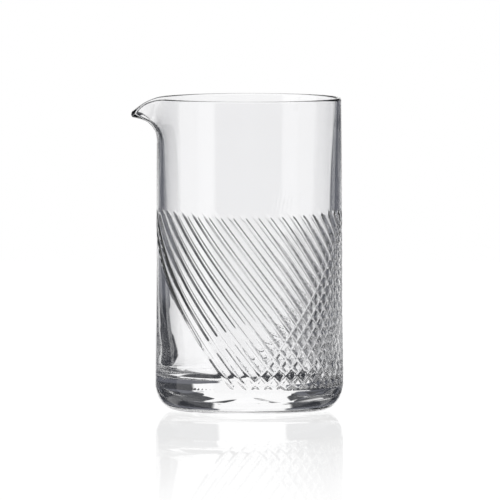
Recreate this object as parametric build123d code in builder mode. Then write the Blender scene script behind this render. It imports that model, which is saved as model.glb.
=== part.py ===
from build123d import *
import os

# ---------------------------------------------------------------- dimensions
# All lengths are in millimetres.  The origin is the centre of the foot on the
# table, +Z is up, and the pouring spout points towards -X.

# Outer body
height = 147.0              # foot to rim
foot_radius = 34.0          # flat resting disc
belly_radius = 44.2         # widest point, just above the rounded heel
belly_height = 13.0
waist_radius = 43.7         # gently tapering wall at mid height
waist_height = 62.0
mouth_radius = 43.3         # outer radius at the rim

# Inner cavity
floor_height = 15.5         # solid glass below the cavity
floor_corner = 8.0          # rounding between the inner floor and the wall
bore_low_radius = 37.5      # inner radius just above the floor corner
bore_mid_radius = 39.3
bore_mid_height = 45.0
bore_shoulder_radius = 40.1
bore_shoulder_height = 80.0
bore_flare_radius = 40.6    # the wall thins out towards the rim
bore_flare_height = 114.0
bore_mouth_radius = 41.4

# Spout: upright elliptical sections at growing distance from the axis, as
# (distance, half width, lip height, depth of the trough below the lip)
spout_sections = (
    (38.0, 15.5, 149.5, 30.0),
    (43.6, 11.0, 147.0, 14.2),
    (48.0, 7.8, 145.4, 9.2),
    (52.0, 6.0, 142.8, 5.4),
    (55.3, 4.6, 140.2, 2.8),
)
channel_sections = (
    (36.0, 13.6, 150.5, 28.6),
    (43.2, 9.2, 147.2, 11.9),
    (48.0, 5.9, 145.4, 7.2),
    (52.0, 4.2, 142.8, 3.4),
    (57.0, 2.7, 139.0, 1.2),
)
trim_clearance = 40.0       # how far the trimming shapes reach past the glass

# Rounded, fire-polished edges
rim_rounding = 0.6
lip_zone_height = 138.0     # every upward face above this belongs to the rim or lip

# Lip line in side view, as (distance from the axis, height): it falls from the
# rim along the spout and then dives past the tip
lip_line = (
    (46.4, 146.3),
    (49.3, 144.8),
    (52.0, 142.6),
)
lip_dive = (57.0, 137.0)
lip_dive_slope = (-1, -1.6)


# ---------------------------------------------------------------- helpers
def trough_solid(sections):
    """Loft through upright ellipses that stand across the spout."""
    with BuildPart() as trough:
        for distance, half_width, lip_height, depth in sections:
            across = Plane(
                origin=(-distance, 0, lip_height), x_dir=(0, 1, 0), z_dir=(-1, 0, 0)
            )
            with BuildSketch(across):
                Ellipse(half_width, depth)
        loft()
    return trough.part


def faces_the_lip(face):
    """True for an upward-looking face at the rim or on the pouring lip."""
    middle = face.center()
    return middle.Z > lip_zone_height and face.normal_at(middle).Z > 0.3


def is_border(edge, edges):
    """True for an edge that belongs to only one face of the chosen group."""
    return sum(edge.is_same(other) for other in edges) == 1


spout_tongue = trough_solid(spout_sections)
spout_channel = trough_solid(channel_sections)

# ---------------------------------------------------------------- glass vessel
with BuildPart() as glass_vessel:
    # Outer form: foot, rounded heel and gently tapering wall.
    with BuildSketch(Plane.XZ):
        with BuildLine():
            Line((0, 0), (foot_radius, 0))
            EllipticalCenterArc(
                (foot_radius, belly_height),
                belly_radius - foot_radius,
                belly_height,
                start_angle=-90,
                arc_size=90,
            )
            Spline(
                (belly_radius, belly_height),
                (waist_radius, waist_height),
                (mouth_radius, height),
                tangents=((0, 1), (0, 1)),
            )
            Polyline((mouth_radius, height), (0, height), (0, 0))
        make_face()
    revolve(axis=Axis.Z)

    # Spout: a solid tongue pulled out of the wall.
    add(spout_tongue)

    # Lip line: everything above the rim and above the falling lip goes.
    dive_x = -lip_dive[0]
    dive_z = lip_dive[1]
    trim_top = height + trim_clearance
    with BuildSketch(Plane.XZ):
        with BuildLine():
            Spline(
                (-mouth_radius, height),
                *[(-distance, level) for distance, level in lip_line],
                (dive_x, dive_z),
                tangents=((-1, 0), lip_dive_slope),
            )
            Polyline(
                (dive_x, dive_z),
                (dive_x - trim_clearance, dive_z),
                (dive_x - trim_clearance, trim_top),
                (mouth_radius, trim_top),
                (mouth_radius, height),
                (-mouth_radius, height),
            )
        make_face()
    extrude(amount=mouth_radius, both=True, mode=Mode.SUBTRACT)

    # Cavity: flat floor, rounded corner, wall flaring towards the rim.
    with BuildSketch(Plane.XZ):
        with BuildLine():
            Line((0, floor_height), (bore_low_radius - floor_corner, floor_height))
            CenterArc(
                (bore_low_radius - floor_corner, floor_height + floor_corner),
                floor_corner,
                start_angle=-90,
                arc_size=90,
            )
            Spline(
                (bore_low_radius, floor_height + floor_corner),
                (bore_mid_radius, bore_mid_height),
                (bore_shoulder_radius, bore_shoulder_height),
                (bore_flare_radius, bore_flare_height),
                (bore_mouth_radius, height),
                tangents=((0, 1), (0, 1)),
            )
            Polyline(
                (bore_mouth_radius, height),
                (bore_mouth_radius, height + trim_clearance),
                (0, height + trim_clearance),
                (0, floor_height),
            )
        make_face()
    revolve(axis=Axis.Z, mode=Mode.SUBTRACT)

    # Pouring channel along the spout.
    add(spout_channel, mode=Mode.SUBTRACT)

    # Fire-polished edge: the borders of the ring that forms rim and lip.
    lip_faces = glass_vessel.faces().filter_by(faces_the_lip)
    lip_edges = lip_faces.edges()
    fillet([edge for edge in lip_edges if is_border(edge, lip_edges)], rim_rounding)

glass_vessel.part.label = "glass_vessel"

os.makedirs("parts", exist_ok=True)
export_step(glass_vessel.part, "parts/glass_vessel.step")
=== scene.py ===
import bpy
import bmesh
import math
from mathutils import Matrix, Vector


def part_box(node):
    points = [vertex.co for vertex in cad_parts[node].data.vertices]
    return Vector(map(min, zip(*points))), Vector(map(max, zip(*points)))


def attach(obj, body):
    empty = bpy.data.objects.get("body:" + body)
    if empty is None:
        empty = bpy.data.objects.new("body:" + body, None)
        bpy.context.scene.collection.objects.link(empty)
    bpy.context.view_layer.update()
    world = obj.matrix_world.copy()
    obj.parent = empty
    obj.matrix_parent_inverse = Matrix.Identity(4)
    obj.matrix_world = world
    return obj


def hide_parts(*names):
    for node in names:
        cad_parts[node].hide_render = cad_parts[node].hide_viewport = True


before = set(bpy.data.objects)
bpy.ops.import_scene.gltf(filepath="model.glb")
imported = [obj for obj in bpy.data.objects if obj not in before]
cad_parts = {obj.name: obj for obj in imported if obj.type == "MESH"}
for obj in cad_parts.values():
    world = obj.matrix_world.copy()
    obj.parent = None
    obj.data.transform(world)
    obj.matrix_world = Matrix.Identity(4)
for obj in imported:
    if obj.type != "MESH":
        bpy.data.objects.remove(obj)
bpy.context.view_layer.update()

MM = 0.001

# ------------------------------------------------------------ the glass, in metres
glass_low, glass_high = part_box("glass_vessel")
HEIGHT = glass_high.z
BELLY_RADIUS = glass_high.x

FOOT_RADIUS = 34.0 * MM
BELLY_HEIGHT = 13.0 * MM
FLOOR_HEIGHT = 15.5 * MM
FLOOR_CORNER = 7.0 * MM

# (height, radius) stations of the outer and the inner wall above the heel and the floor corner
OUTER_WALL = (
    (13.0, 44.2), (28.0, 44.08), (46.0, 43.82), (75.0, 43.68), (112.0, 43.57), (130.0, 43.45), (147.0, 43.3),
)
INNER_WALL = (
    (22.5, 37.3), (32.0, 38.4), (45.0, 39.3), (60.0, 39.8), (80.0, 40.1), (112.0, 40.5), (130.0, 41.0),
    (147.0, 41.4),
)

# ------------------------------------------------------------ the cut band
CUT_COUNT = 25                                  # grooves in each of the two crossing families
CUT_PITCH = math.radians(7.85)                  # from groove to groove round the wall
CUT_TURN = math.radians(1.0) / MM               # how fast a groove winds with height
CUT_LOW = 12.4 * MM                             # lower and upper end of the cuts
CUT_HIGH = 94.0 * MM
CUT_FIRST = math.radians(-9.8)                  # azimuth where the first groove starts, at CUT_LOW
CUT_HALF_WIDTH = 1.0 * MM                       # across the groove
CUT_DEPTH = 0.68 * MM
CUT_ROUNDING = 0.35                             # of the groove's bottom, in half widths
CUT_RUN_OUT = 1.2 * MM                          # a groove fades out over this height
LIGHT_CUT_SHARE = 0.45                          # depth of the cuts that stand alone at the back
LIGHT_CUT_START = math.radians(140)             # azimuth where they begin to get lighter
LIGHT_CUT_END = math.radians(168)
MIRROR_RUN_OUT = 16.0 * MM                      # the other family fades slowly towards its top
BAND_MARGIN = 1.0 * MM                          # plain wall kept in the band above and below the grooves
BAND_LOW = CUT_LOW - BAND_MARGIN
BAND_HIGH = CUT_HIGH + BAND_MARGIN
ACROSS_CUT = (-1.04, -0.97, -0.8, -0.54, -0.27, 0.0, 0.27, 0.54, 0.8, 0.97, 1.04)   # grid lines, half widths
PLAIN_STEP = math.radians(2.6)                  # between grid lines where no groove crosses
WELD = 2e-6                                     # points closer than this are one point

# ------------------------------------------------------------ the pulled spout
SPOUT_TURN = math.radians(-90)                  # azimuth of the spout
SPOUT_START = 127.0 * MM                        # the wall starts to lean out here
SPOUT_REACH = -glass_low.x - 42.2 * MM          # how far the middle of the lip is pulled out
SPOUT_WIDTH = 11.5 * MM                         # half the width of the pulled part
SPOUT_SHOULDER = 1.9                            # how sharply the pull ends to the sides
SPOUT_LEAN = 1.85                               # how late the wall leans out on its way up
SPOUT_FALL = 7.4 * MM                           # how far the lip drops below the rim
SPOUT_FALL_SHOULDER = 1.9
LIP_THICKENING = 0.8                            # the lip's bead is thicker than the rim
LIP_ZONE = 9.0 * MM                             # height over which it thickens
SPOUT_GATHER = 0.7                              # how strongly the mesh gathers at the spout

# ------------------------------------------------------------ gaps stitched when the shells are joined
SLEEVE_GAP = 2.0 * MM                           # between the band and the upper wall
HEEL_GAP = 1.2 * MM                             # between the band and the heel
BOWL_TOP = 98.0 * MM                            # upper end of the inner bowl
SLEEVE_INNER_BOTTOM = 100.0 * MM                # lower end of the upper wall's inner face
RING_REACH = 0.5 * MM                           # how far from its level an open edge is looked for
INNER_LIMIT = BELLY_RADIUS - 3.2 * MM           # open edges inside this radius belong to the inner face

# ------------------------------------------------------------ the studio
FLOOR_GLOSS = 0.38                              # strength of the floor's soft reflection
FLOOR_LEVEL = 1.05                              # its own white
FLOOR_RADIUS = 1.2
FLOOR_DROP = 0.1 * MM                           # keeps it clear of the foot
FLOOR_FADE = (0.10, 0.85)                       # the reflection fades out over this distance
CARD_TURN = math.radians(20)                    # card behind and to the left: how far round
CARD_DISTANCE = 0.26
CARD_HEIGHT = 70.0 * MM                         # its middle
CARD_WIDTH = 0.060
CARD_TALL = 0.17
CARD_LEVEL = 0.9
CARD_FADE = (-0.02, 0.035)                      # it fades in over these heights, from its middle
PANEL_HALF = 15.0                               # half width of a white panel; all angles here in degrees
PANEL_SOFT = 1.5                                # half the width of its soft edge
PANEL_ASIDE = -1.5                              # the panel behind the glass stands a little to the left
SIDE_PANEL_TURN = 266.0                         # the second panel, beside the spout
PANEL_WING_HALF = 29.0                          # half width of the panel just above the horizon
PANEL_WING = (-1.0, 1.0, 4.5, 6.0)              # elevations where the wing fades in and out
PANEL_FOOT_HALF = 18.0                          # and just below it, where the heel looks
PANEL_FOOT = (-14.0, -13.0, -9.0, -8.0)
OVERHEAD = (42.0, 50.0)                         # white above this elevation
SOFT_BOX_TURN = 238.0                           # small bright light in front, to the left
SOFT_BOX_EDGE = (10.0, 18.0)
SOFT_BOX_TOP = (30.0, 50.0)
SOFT_BOX_LEVEL = 1.2
SIDE_LEVEL = 0.5                                # the room to the sides and in front
SIDE_EDGE = (70.0, 90.0)                        # how far round from straight behind it begins
SIDE_CLEAR = (9.0, 13.0)                        # how far from the eye's own elevation it begins
BELOW_EDGE = (30.0, 40.0)                       # pale table: how far round it begins
BELOW_TOP = (-24.0, -19.0)                      # its upper end
BELOW_BOTTOM = (-38.0, -33.0)                   # its lower end, up to where it goes all the way down
BELOW_OPEN = (60.0, 80.0)
HAZE_EDGE = (4.0, 6.0)                          # half height of the grey band level with the eye
FLAG_COLOR = (0.032, 0.034, 0.040, 1)           # light that comes from the dark surroundings
HAZE_COLOR = (0.12, 0.125, 0.145, 1)            # and from the grey band

# ------------------------------------------------------------ the camera
EYE_DISTANCE = 8.0
EYE_RISE = 3.3                                  # degrees above the horizon
VIEW_WIDTH = 235.1 * MM
AIM = Vector((0.35 * MM, 0, 75.2 * MM))


# ------------------------------------------------------------ curves of the wall
def along(stations, height):
    """Smooth curve through (height, radius) stations, with the slope taken from the neighbours."""
    x = height / MM
    last = len(stations) - 1
    i = 0
    while i < last - 1 and x > stations[i + 1][0]:
        i += 1

    def slope(k):
        if k in (0, last):
            return 0.0
        (xa, ya), (xb, yb) = stations[k - 1], stations[k + 1]
        return (yb - ya) / (xb - xa)

    (x0, y0), (x1, y1) = stations[i], stations[i + 1]
    span = x1 - x0
    t = min(max((x - x0) / span, 0.0), 1.0)
    rise = (1 + 2 * t) * (1 - t) ** 2 * y0 + t * t * (3 - 2 * t) * y1
    lean = t * (1 - t) ** 2 * span * slope(i) - t * t * (1 - t) * span * slope(i + 1)
    return (rise + lean) * MM


def smooth_step(low, high, value):
    t = min(max((value - low) / (high - low), 0.0), 1.0)
    return t * t * (3 - 2 * t)


def on_turn(turn, radius, height):
    """Point at an azimuth: 0 faces -Y, a quarter turn faces +X, minus a quarter the spout."""
    return Vector((radius * math.sin(turn), -radius * math.cos(turn), height))


def turn_of(point):
    return math.atan2(point.x, -point.y)


# ------------------------------------------------------------ mesh helpers
def new_piece(add_primitive, name, **settings):
    """Add one primitive with nothing else selected and name it and its mesh."""
    bpy.ops.object.select_all(action="DESELECT")
    add_primitive(**settings)
    piece = bpy.context.object
    piece.name = name
    piece.data.name = name
    return piece


def move_points(piece, rule):
    for vertex in piece.data.vertices:
        vertex.co = rule(vertex.co)


def turned_shape(name, outline, steps):
    """Spin an open outline of (radius, height) points once round the upright axis."""
    bpy.ops.object.select_all(action="DESELECT")
    bpy.ops.mesh.primitive_plane_add(size=1)
    piece = bpy.context.object
    piece.name = name
    piece.data.name = name
    bpy.ops.object.mode_set(mode="EDIT")
    bpy.ops.mesh.select_all(action="SELECT")
    bpy.ops.mesh.merge(type="CENTER")
    bpy.ops.transform.translate(value=(outline[0][0], 0, outline[0][1]))
    for (r0, z0), (r1, z1) in zip(outline, outline[1:]):
        bpy.ops.mesh.extrude_region_move(TRANSFORM_OT_translate={"value": (r1 - r0, 0, z1 - z0)})
    bpy.ops.mesh.select_all(action="SELECT")
    bpy.ops.mesh.spin(steps=steps, angle=2 * math.pi, center=(0, 0, 0), axis=(0, 0, 1))
    bpy.ops.mesh.select_all(action="SELECT")
    bpy.ops.mesh.remove_doubles(threshold=WELD / 2)
    bpy.ops.object.mode_set(mode="OBJECT")
    return piece


# ------------------------------------------------------------ cut band
def cut_half_turn():
    """Half the width of a groove, measured as azimuth along a level line."""
    radius = BELLY_RADIUS
    lean = math.atan2(1.0, CUT_TURN * radius)
    return CUT_HALF_WIDTH / math.cos(lean) / radius


CUT_HALF_TURN = cut_half_turn()
CUT_STARTS = [CUT_FIRST + CUT_TURN * CUT_LOW + k * CUT_PITCH for k in range(CUT_COUNT)]
MIRROR_STARTS = sorted(math.pi - start for start in CUT_STARTS)


def groove_depth(offset):
    """Depth of one V groove with a rounded bottom at a distance from its middle, in half widths."""
    if abs(offset) >= 1:
        return 0.0
    sunk = math.hypot(offset, CUT_ROUNDING) - CUT_ROUNDING
    full = math.hypot(1, CUT_ROUNDING) - CUT_ROUNDING
    return CUT_DEPTH * (1 - sunk / full)


def family_depth(middles, place):
    """Depth cut by one family of grooves at a place given in that family's own angle."""
    nearest = min(abs((place - m + math.pi) % (2 * math.pi) - math.pi) for m in middles)
    return groove_depth(nearest / CUT_HALF_TURN)


def grid_lines(middles):
    """One turn of grid lines: several across each groove, one between, a few on the plain part."""
    lines = []
    for middle in middles:
        lines += [middle + step * CUT_HALF_TURN for step in ACROSS_CUT]
        lines.append(middle + CUT_PITCH / 2)
    gap = lines[0] + 2 * math.pi - lines[-1]
    fill = round(gap / PLAIN_STEP)
    lines += [lines[-1] + gap * k / fill for k in range(1, fill)]
    return lines


def make_cut_band():
    """Grid whose edges run along both families of grooves, trimmed level, then wrapped round."""
    right = grid_lines(CUT_STARTS)
    left_turn = grid_lines(MIRROR_STARTS)
    right.append(right[0] + 2 * math.pi)
    left = []
    spare = 0.1
    lowest = right[0] - 2 * CUT_TURN * BAND_HIGH - spare
    highest = right[-1] - 2 * CUT_TURN * BAND_LOW + spare
    for lap in range(-3, 3):
        left += [a + lap * 2 * math.pi for a in left_turn]
    left = [a for a in sorted(left) if lowest < a < highest]

    columns, rows = len(right) - 1, len(left) - 1
    band = new_piece(
        bpy.ops.mesh.primitive_grid_add, "mixing_glass",
        x_subdivisions=columns, y_subdivisions=rows, size=2,
    )

    def unroll(point):
        u = right[round((point.x + 1) / 2 * columns)]
        v = left[round((point.y + 1) / 2 * rows)]
        return Vector(((u + v) / 2 * MM, (u - v) / 2 / CUT_TURN, 0))

    move_points(band, unroll)
    bpy.ops.object.mode_set(mode="EDIT")
    for level, inner, outer in ((BAND_LOW, True, False), (BAND_HIGH, False, True)):
        bpy.ops.mesh.select_all(action="SELECT")
        bpy.ops.mesh.bisect(
            plane_co=(0, level, 0), plane_no=(0, 1, 0), clear_inner=inner, clear_outer=outer,
        )
    bpy.ops.object.mode_set(mode="OBJECT")

    def wrap(point):
        turn, height = point.x / MM, point.y
        u, v = turn + CUT_TURN * height, turn - CUT_TURN * height
        start = smooth_step(CUT_LOW, CUT_LOW + CUT_RUN_OUT, height)
        first = family_depth(CUT_STARTS, u) * smooth_step(CUT_HIGH, CUT_HIGH - CUT_RUN_OUT, height)
        second = family_depth(MIRROR_STARTS, v) * smooth_step(CUT_HIGH, CUT_HIGH - MIRROR_RUN_OUT, height)
        lighter = smooth_step(LIGHT_CUT_START, LIGHT_CUT_END, turn % (2 * math.pi))
        second *= 1 - lighter * (1 - LIGHT_CUT_SHARE)
        cut = (first ** 4 + second ** 4) ** 0.25
        return on_turn(turn, along(OUTER_WALL, height) - cut * start, height)

    move_points(band, wrap)
    bpy.ops.object.mode_set(mode="EDIT")
    bpy.ops.mesh.select_all(action="SELECT")
    bpy.ops.mesh.remove_doubles(threshold=WELD)
    bpy.ops.object.mode_set(mode="OBJECT")
    return band


# ------------------------------------------------------------ upper wall, rim and spout
def spout_share(turn, radius):
    """How much of the pull reaches a place: 1 in the middle of the spout, 0 far from it."""
    aside = abs((turn - SPOUT_TURN + math.pi) % (2 * math.pi) - math.pi) * radius
    return math.exp(-(aside / SPOUT_WIDTH) ** SPOUT_SHOULDER)


def wall_middle(turn, height):
    """Middle of the wall's thickness, leaning out and down where the spout is pulled."""
    level = min(height, HEIGHT)
    radius = (along(OUTER_WALL, level) + along(INNER_WALL, level)) / 2
    point = on_turn(turn, radius, height)
    pull = max(0.0, (height - SPOUT_START) / (HEIGHT - SPOUT_START))
    bump = spout_share(turn, radius)
    point.x -= SPOUT_REACH * bump * pull ** SPOUT_LEAN
    point.z -= SPOUT_FALL * bump ** SPOUT_FALL_SHOULDER * pull ** 2
    return point


def wall_point(turn, height, offset):
    """Point off the middle of the wall: offset -1 is the inner face and +1 the outer face."""
    step = 0.2 * MM
    here = wall_middle(turn, height)
    round_it = wall_middle(turn + step / here.length, height) - wall_middle(turn - step / here.length, height)
    upward = wall_middle(turn, height + step) - wall_middle(turn, height - step)
    outward = round_it.cross(upward).normalized()
    level = min(height, HEIGHT)
    half = (along(OUTER_WALL, level) - along(INNER_WALL, level)) / 2
    near_lip = smooth_step(HEIGHT - LIP_ZONE, HEIGHT, height)
    half *= 1 + LIP_THICKENING * near_lip * spout_share(turn, BELLY_RADIUS)
    return here + outward * half * offset


def spread_turn(even):
    """Spin steps are even; this gathers them towards the spout."""
    from_spout = (even - SPOUT_TURN + math.pi) % (2 * math.pi) - math.pi
    return SPOUT_TURN + from_spout - SPOUT_GATHER * math.sin(from_spout)


def make_upper_wall():
    """Outer wall above the band, over the rim and down the inside, as one spun sleeve."""
    bottom = BAND_HIGH + SLEEVE_GAP
    half_rim = (along(OUTER_WALL, HEIGHT) - along(INNER_WALL, HEIGHT)) / 2
    top = HEIGHT - half_rim
    plain = [bottom + (SPOUT_START - bottom) * k / 7 for k in range(7)]
    leaning = [SPOUT_START + (top - SPOUT_START) * k / 26 for k in range(27)]
    rounding = [math.pi * k / 10 for k in range(1, 10)]
    inner_plain = [SPOUT_START - (SPOUT_START - SLEEVE_INNER_BOTTOM) * k / 6 for k in range(1, 7)]
    outline = [(1.0, h) for h in plain + leaning]
    outline += [(math.cos(a), top + half_rim * math.sin(a)) for a in rounding]
    outline += [(-1.0, h) for h in leaning[::-1] + inner_plain]
    unit = 10.0                                 # a wide ring, so that each offset keeps its own radius
    sleeve = turned_shape("upper_wall", [(unit + offset, h) for offset, h in outline], 256)

    def place(point):
        offset = math.hypot(point.x, point.y) - unit
        return wall_point(spread_turn(turn_of(point)), point.z, offset)

    move_points(sleeve, place)
    return sleeve


# ------------------------------------------------------------ inner bowl, heel and foot
def make_inner_bowl():
    low = FLOOR_HEIGHT + FLOOR_CORNER
    side = along(INNER_WALL, low)
    heights = [BOWL_TOP + (low - BOWL_TOP) * k / 16 for k in range(16)]
    outline = [(along(INNER_WALL, h), h) for h in heights]
    for k in range(13):
        a = math.pi / 2 * k / 12
        outline.append((side - FLOOR_CORNER + FLOOR_CORNER * math.cos(a), low - FLOOR_CORNER * math.sin(a)))
    edge = side - FLOOR_CORNER
    outline += [(edge * (1 - k / 8), FLOOR_HEIGHT) for k in range(1, 9)]
    return turned_shape("inner_bowl", outline, 192)


def make_heel_and_foot():
    top = BAND_LOW - HEEL_GAP
    start = math.asin(1 - top / BELLY_HEIGHT)
    outline = []
    for k in range(21):
        a = start + (math.pi / 2 - start) * k / 20
        outline.append((
            FOOT_RADIUS + (BELLY_RADIUS - FOOT_RADIUS) * math.cos(a),
            BELLY_HEIGHT * (1 - math.sin(a)),
        ))
    outline += [(FOOT_RADIUS * (1 - k / 8), 0.0) for k in range(1, 9)]
    return turned_shape("heel_and_foot", outline, 192)


# ------------------------------------------------------------ joining the shells
def open_ring(mesh, level, inside):
    """Vertices of the open edge nearest to a level, in order of azimuth."""
    found = set()
    for edge in mesh.edges:
        if edge.is_boundary:
            for vertex in edge.verts:
                near_axis = math.hypot(vertex.co.x, vertex.co.y) < INNER_LIMIT
                if abs(vertex.co.z - level) < RING_REACH and near_axis == inside:
                    found.add(vertex)
    return sorted(found, key=lambda vertex: turn_of(vertex.co))


def stitch(mesh, ring_a, ring_b):
    """Fill the strip between two rings that have different numbers of vertices."""
    lap = 2 * math.pi
    a = [(turn_of(v.co), v) for v in ring_a]
    b = [(turn_of(v.co), v) for v in ring_b]
    a.append((a[0][0] + lap, a[0][1]))
    b.append((b[0][0] + lap, b[0][1]))
    i = j = 0
    while i < len(a) - 1 or j < len(b) - 1:
        take_a = j == len(b) - 1 or (i < len(a) - 1 and a[i + 1][0] < b[j + 1][0])
        if take_a:
            mesh.faces.new((a[i][1], a[i + 1][1], b[j][1]))
            i += 1
        else:
            mesh.faces.new((a[i][1], b[j + 1][1], b[j][1]))
            j += 1


def make_mixing_glass():
    band = make_cut_band()
    shells = [make_upper_wall(), make_inner_bowl(), make_heel_and_foot()]
    bpy.ops.object.select_all(action="DESELECT")
    for shell in shells:
        shell.select_set(True)
    band.select_set(True)
    bpy.context.view_layer.objects.active = band
    bpy.ops.object.join()

    mesh = bmesh.new()
    mesh.from_mesh(band.data)
    pairs = (
        (BAND_HIGH, BAND_HIGH + SLEEVE_GAP, False),
        (BAND_LOW, BAND_LOW - HEEL_GAP, False),
        (BOWL_TOP, SLEEVE_INNER_BOTTOM, True),
    )
    for level_a, level_b, inside in pairs:
        stitch(mesh, open_ring(mesh, level_a, inside), open_ring(mesh, level_b, inside))
    bmesh.ops.recalc_face_normals(mesh, faces=mesh.faces)
    mesh.to_mesh(band.data)
    mesh.free()
    for polygon in band.data.polygons:
        polygon.use_smooth = True
    return band


# ------------------------------------------------------------ shader maths
class Socket:
    """One output of a node, so that sums on values add their own Math nodes."""

    def __init__(self, nodes, output):
        self.nodes = nodes
        self.output = output

    def math(self, operation, *others):
        return self.nodes.add("ShaderNodeMath", {"operation": operation}, self, *others)

    def __add__(self, other):
        return self.math("ADD", other)

    def __mul__(self, other):
        return self.math("MULTIPLY", other)

    def __sub__(self, other):
        return self.math("SUBTRACT", other)

    def __rsub__(self, other):
        return self.nodes.add("ShaderNodeMath", {"operation": "SUBTRACT"}, other, self)


class Nodes:
    """A node tree with one way to add a node: its type, its settings, then its inputs in order."""

    def __init__(self, tree):
        self.tree = tree
        tree.nodes.clear()

    def add(self, kind, settings=None, *inputs, output=0, **named):
        node = self.tree.nodes.new(kind)
        for key, value in (settings or {}).items():
            setattr(node, key, value)
        for key, value in list(enumerate(inputs)) + list(named.items()):
            socket = node.inputs[key.replace("_", " ") if isinstance(key, str) else key]
            if isinstance(value, Socket):
                self.tree.links.new(value.output, socket)
            elif value is not None:
                socket.default_value = value
        return Socket(self, node.outputs[output]) if node.outputs and output is not None else node


def step_between(value, low, high):
    """0 below low, 1 above high, smooth between: the shader's own smooth_step."""
    return value.nodes.add(
        "ShaderNodeMapRange", {"interpolation_type": "SMOOTHSTEP"}, value, low, high, 0.0, 1.0,
    )


# ------------------------------------------------------------ materials
def clear_glass():
    material = bpy.data.materials.new("clear_glass")
    material.use_nodes = True
    nodes = Nodes(material.node_tree)
    place = nodes.add("ShaderNodeTexCoord", output="Object")
    ripple = nodes.add("ShaderNodeTexNoise", None, Vector=place, Scale=22.0, Detail=1.0)
    bump = nodes.add("ShaderNodeBump", None, Strength=0.03, Distance=0.001, Height=ripple)
    haze = nodes.add("ShaderNodeTexNoise", None, Vector=place, Scale=60.0, Detail=2.0)
    shader = nodes.add(
        "ShaderNodeBsdfPrincipled", None,
        Base_Color=(0.99, 0.99, 0.995, 1), Roughness=haze * 0.01, IOR=1.52, Normal=bump,
        Transmission_Weight=1.0,
    )
    nodes.add("ShaderNodeOutputMaterial", None, shader)
    return material


def studio_floor():
    """White to the eye with a soft reflection; light that left the glass passes through it."""
    material = bpy.data.materials.new("studio_floor")
    material.use_nodes = True
    nodes = Nodes(material.node_tree)
    place = nodes.add("ShaderNodeTexCoord", output="Object")
    distance = nodes.add("ShaderNodeVectorMath", {"operation": "LENGTH"}, place, output="Value")
    white = nodes.add("ShaderNodeEmission", None, Color=(1, 1, 1, 1), Strength=FLOOR_LEVEL)
    sheen = nodes.add("ShaderNodeBsdfAnisotropic", None, Color=(1, 1, 1, 1), Roughness=0.01)
    fade = 1.0 - step_between(distance, *FLOOR_FADE)
    gloss = nodes.add("ShaderNodeFresnel", None, IOR=1.5) * fade * FLOOR_GLOSS
    surface = nodes.add("ShaderNodeMixShader", None, gloss, white, sheen)
    seen = nodes.add("ShaderNodeLightPath", output="Is Camera Ray")
    through = nodes.add("ShaderNodeBsdfTransparent", None, Color=(1, 1, 1, 1))
    shader = nodes.add("ShaderNodeMixShader", None, seen, through, surface)
    nodes.add("ShaderNodeOutputMaterial", None, shader)
    return material


# ------------------------------------------------------------ studio
def make_floor():
    bpy.ops.object.select_all(action="DESELECT")
    bpy.ops.mesh.primitive_circle_add(
        vertices=64, radius=FLOOR_RADIUS, fill_type="NGON", location=(0, 0, -FLOOR_DROP),
    )
    floor = bpy.context.object
    floor.name = "floor"
    floor.data.materials.append(studio_floor())


def card_light():
    """White card that fades out towards its lower edge."""
    material = bpy.data.materials.new("card_light")
    material.use_nodes = True
    nodes = Nodes(material.node_tree)
    place = nodes.add("ShaderNodeTexCoord", output="Object")
    split = nodes.add("ShaderNodeSeparateXYZ", None, place, output=None)
    height = Socket(nodes, split.outputs[1])
    glow = nodes.add("ShaderNodeEmission", None, (1, 1, 1, 1), CARD_LEVEL)
    through = nodes.add("ShaderNodeBsdfTransparent", None, Color=(1, 1, 1, 1))
    shader = nodes.add("ShaderNodeMixShader", None, step_between(height, *CARD_FADE), through, glow)
    nodes.add("ShaderNodeOutputMaterial", None, shader)
    return material


def make_card():
    """Card behind and to the left, seen only through the upper part of the glass."""
    bpy.ops.object.select_all(action="DESELECT")
    place = (-math.sin(CARD_TURN) * CARD_DISTANCE, math.cos(CARD_TURN) * CARD_DISTANCE, CARD_HEIGHT)
    bpy.ops.mesh.primitive_plane_add(size=1, location=place, rotation=(math.pi / 2, 0, CARD_TURN))
    card = bpy.context.object
    card.name = "card"
    card.scale = (CARD_WIDTH, CARD_TALL, 1)
    bpy.ops.object.transform_apply(location=False, rotation=False, scale=True)
    card.data.materials.append(card_light())
    card.visible_camera = False


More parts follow.
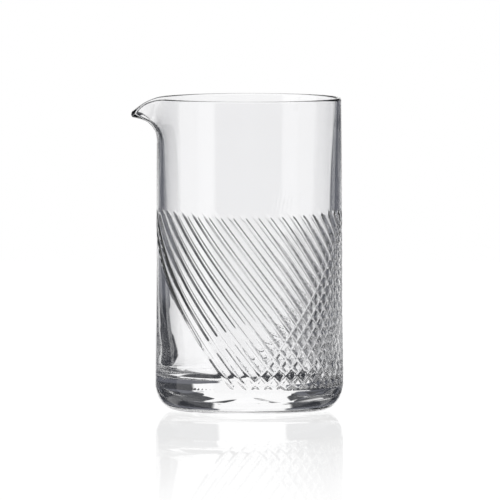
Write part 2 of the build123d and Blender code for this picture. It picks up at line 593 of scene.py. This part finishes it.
def make_world():
    """White panels with dark flags between them, a paler room to the sides and a pale table below."""
    world = bpy.data.worlds.new("studio")
    bpy.context.scene.world = world
    world.use_nodes = True
    nodes = Nodes(world.node_tree)
    direction = nodes.add("ShaderNodeTexCoord", output="Generated")
    split = nodes.add("ShaderNodeSeparateXYZ", None, direction, output=None)
    x, y, z = (Socket(nodes, split.outputs[k]) for k in range(3))
    azimuth = nodes.add("ShaderNodeMath", {"operation": "ARCTAN2"}, x, y) * (180 / math.pi)
    rise = z.math("ARCSINE") * (180 / math.pi)
    from_eye = (rise + EYE_RISE).math("ABSOLUTE")

    def off(middle):
        """Degrees round the horizon from a direction."""
        return nodes.add("ShaderNodeMath", {"operation": "PINGPONG"}, azimuth + (360.0 - middle), 180.0)

    def between(start, full, end, gone):
        """1 between two elevations, fading in below them and out above."""
        return step_between(rise, start, full) * (1.0 - step_between(rise, end, gone))

    wing = between(*PANEL_WING) * (PANEL_WING_HALF - PANEL_HALF)
    foot = between(*PANEL_FOOT) * (PANEL_FOOT_HALF - PANEL_HALF)
    half = wing + foot + PANEL_HALF

    def panel(middle):
        """White panel of full height, wider near the horizon."""
        return 1.0 - step_between(off(middle) - half, -PANEL_SOFT, PANEL_SOFT)

    overhead = step_between(rise, *OVERHEAD)
    soft_box = 1.0 - step_between(off(SOFT_BOX_TURN), *SOFT_BOX_EDGE)
    soft_box = soft_box * (1.0 - step_between(rise, *SOFT_BOX_TOP)) * SOFT_BOX_LEVEL
    beside = step_between(off(0.0), *SIDE_EDGE) * step_between(from_eye, *SIDE_CLEAR) * SIDE_LEVEL
    below = step_between(off(0.0), *BELOW_EDGE) * (1.0 - step_between(rise, *BELOW_TOP))
    below = below * step_between(rise, *BELOW_BOTTOM).math("MAXIMUM", step_between(off(0.0), *BELOW_OPEN))
    lit = panel(PANEL_ASIDE)
    for light in (panel(SIDE_PANEL_TURN), overhead, soft_box, beside, below):
        lit = lit.math("MAXIMUM", light)

    seen = nodes.add("ShaderNodeLightPath", output="Is Camera Ray")
    lights = nodes.add("ShaderNodeBackground", None, (1, 1, 1, 1), lit.math("MAXIMUM", seen))
    dark = nodes.add("ShaderNodeBackground", None, FLAG_COLOR, 1.0)
    grey = nodes.add("ShaderNodeBackground", None, HAZE_COLOR, 1.0)
    haze = 1.0 - step_between(from_eye, *HAZE_EDGE)
    flags = nodes.add("ShaderNodeMixShader", None, haze, dark, grey)
    share = lit.math("MAXIMUM", seen).math("MINIMUM", 1.0)
    around = nodes.add("ShaderNodeMixShader", None, share, flags, lights)
    nodes.add("ShaderNodeOutputWorld", None, around)


def make_camera():
    rise = math.radians(EYE_RISE)
    data = bpy.data.cameras.new("camera")
    data.lens = data.sensor_width * EYE_DISTANCE / VIEW_WIDTH
    data.clip_start, data.clip_end = 0.5, 30.0
    camera = bpy.data.objects.new("camera", data)
    back = Vector((0, -math.cos(rise), math.sin(rise)))
    camera.location = AIM + back * EYE_DISTANCE
    camera.rotation_mode = "QUATERNION"
    camera.rotation_quaternion = (-back).to_track_quat("-Z", "Y")
    bpy.context.scene.collection.objects.link(camera)
    bpy.context.scene.camera = camera


def set_look():
    scene = bpy.context.scene
    scene.view_settings.view_transform = "Standard"
    scene.cycles.max_bounces = 24
    scene.cycles.transmission_bounces = 24
    scene.cycles.glossy_bounces = 12
    scene.cycles.transparent_max_bounces = 16


mixing_glass = make_mixing_glass()
mixing_glass.data.materials.clear()
mixing_glass.data.materials.append(clear_glass())
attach(mixing_glass, "root")
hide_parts("glass_vessel")

make_floor()
make_card()
make_world()
make_camera()
set_look()
